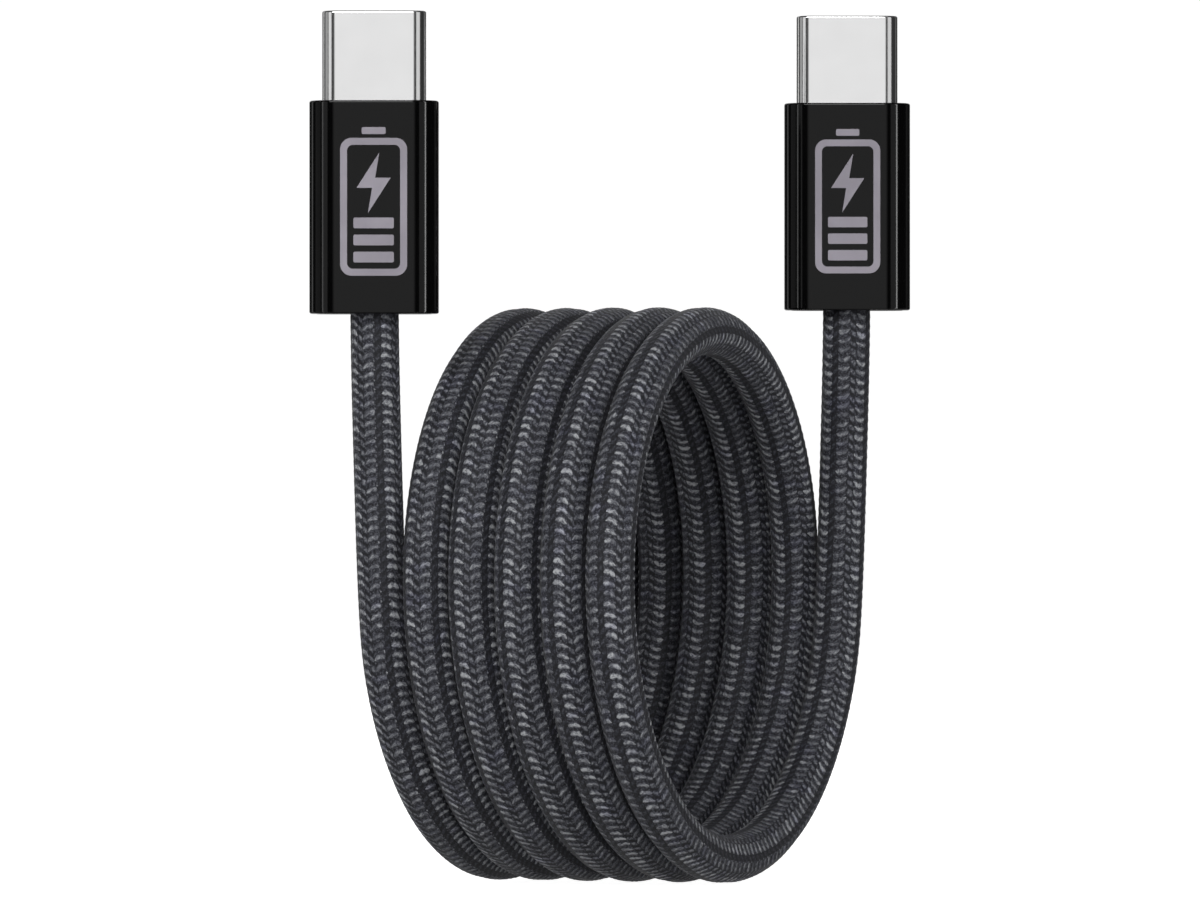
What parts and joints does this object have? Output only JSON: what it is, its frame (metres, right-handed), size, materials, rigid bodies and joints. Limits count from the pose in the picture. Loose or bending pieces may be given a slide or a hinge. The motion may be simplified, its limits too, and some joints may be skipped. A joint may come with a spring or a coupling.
{
  "type": "charging cable",
  "caption": "Braided charging cable wound into a self-holding coil, with an upright flat oval plug on a short straight lead at each end.",
  "frame": {"origin": "centre of plug A's front shoulder, where its metal shell leaves the housing", "axes": "+Z out of the mouth of plug A, +X along the width of its shell, +Y through its broad faces"},
  "size_m": [0.0483, 0.0511, 0.0701],
  "materials": {
    "shell_steel": "bright nickel, satin",
    "carrier_plastic": "moulded, matt",
    "contact_gold": "gold plated",
    "spring_steel": "stamped, bright",
    "card_resin": "green solder mask",
    "chip_plastic": "moulded, matt",
    "power_core_jacket": "red insulation",
    "ground_core_jacket": "black insulation",
    "signal_core_jacket": "white insulation",
    "can_steel": "tinned sheet",
    "crimp_brass": "plain",
    "mould_plastic": "moulded, matt",
    "housing_gloss": "polished black",
    "braid": "braided yarn, charcoal",
    "print_ink": "printed mark, grey"
  },
  "bodies": {
    "cable": {"plug_a_shell": "shell_steel", "plug_a_contact_carrier": "carrier_plastic", "plug_a_upper_contacts": "contact_gold", "plug_a_lower_contacts": "contact_gold", "plug_a_mid_plate": "spring_steel", "plug_a_upper_ground_spring": "spring_steel", "plug_a_lower_ground_spring": "spring_steel", "plug_a_circuit_card": "card_resin", "plug_a_marker_chip": "chip_plastic", "plug_a_power_core": "power_core_jacket", "plug_a_ground_core": "ground_core_jacket", "plug_a_signal_cores": "signal_core_jacket", "plug_a_upper_shield_can": "can_steel", "plug_a_lower_shield_can": "can_steel", "plug_a_cord_crimp": "crimp_brass", "plug_a_inner_mould": "mould_plastic", "plug_a_housing": "housing_gloss", "plug_b_shell": "shell_steel", "plug_b_contact_carrier": "carrier_plastic", "plug_b_upper_contacts": "contact_gold", "plug_b_lower_contacts": "contact_gold", "plug_b_mid_plate": "spring_steel", "plug_b_upper_ground_spring": "spring_steel", "plug_b_lower_ground_spring": "spring_steel", "plug_b_circuit_card": "card_resin", "plug_b_marker_chip": "chip_plastic", "plug_b_power_core": "power_core_jacket", "plug_b_ground_core": "ground_core_jacket", "plug_b_signal_cores": "signal_core_jacket", "plug_b_upper_shield_can": "can_steel", "plug_b_lower_shield_can": "can_steel", "plug_b_cord_crimp": "crimp_brass", "plug_b_inner_mould": "mould_plastic", "plug_b_housing": "housing_gloss", "coil": "braid", "lead_a": "braid", "lead_b": "braid"},
    "plug_a_left_latch": {"plug_a_left_latch": "spring_steel"},
    "plug_a_right_latch": {"plug_a_right_latch": "spring_steel"},
    "plug_b_left_latch": {"plug_b_left_latch": "spring_steel"},
    "plug_b_right_latch": {"plug_b_right_latch": "spring_steel"}
  },
  "joints": [
    {"name": "plug_a_left_latch_flex", "type": "hinge", "parent": "cable", "child": "plug_a_left_latch", "pos_m": [-0.00357, 0, -0.0012], "axis": [0, -1, 0], "range_deg": [0, 1.5], "stiffness_Nm_per_rad": 0.6},
    {"name": "plug_a_right_latch_flex", "type": "hinge", "parent": "cable", "child": "plug_a_right_latch", "pos_m": [0.00357, 0, -0.0012], "axis": [0, 1, 0], "range_deg": [0, 1.5], "stiffness_Nm_per_rad": 0.6},
    {"name": "plug_b_left_latch_flex", "type": "hinge", "parent": "cable", "child": "plug_b_left_latch", "pos_m": [0.03449, 0.02952, -0.0006], "axis": [0, -1, 0], "range_deg": [0, 1.5], "stiffness_Nm_per_rad": 0.6},
    {"name": "plug_b_right_latch_flex", "type": "hinge", "parent": "cable", "child": "plug_b_right_latch", "pos_m": [0.04163, 0.02952, -0.0006], "axis": [0, 1, 0], "range_deg": [0, 1.5], "stiffness_Nm_per_rad": 0.6}
  ]
}
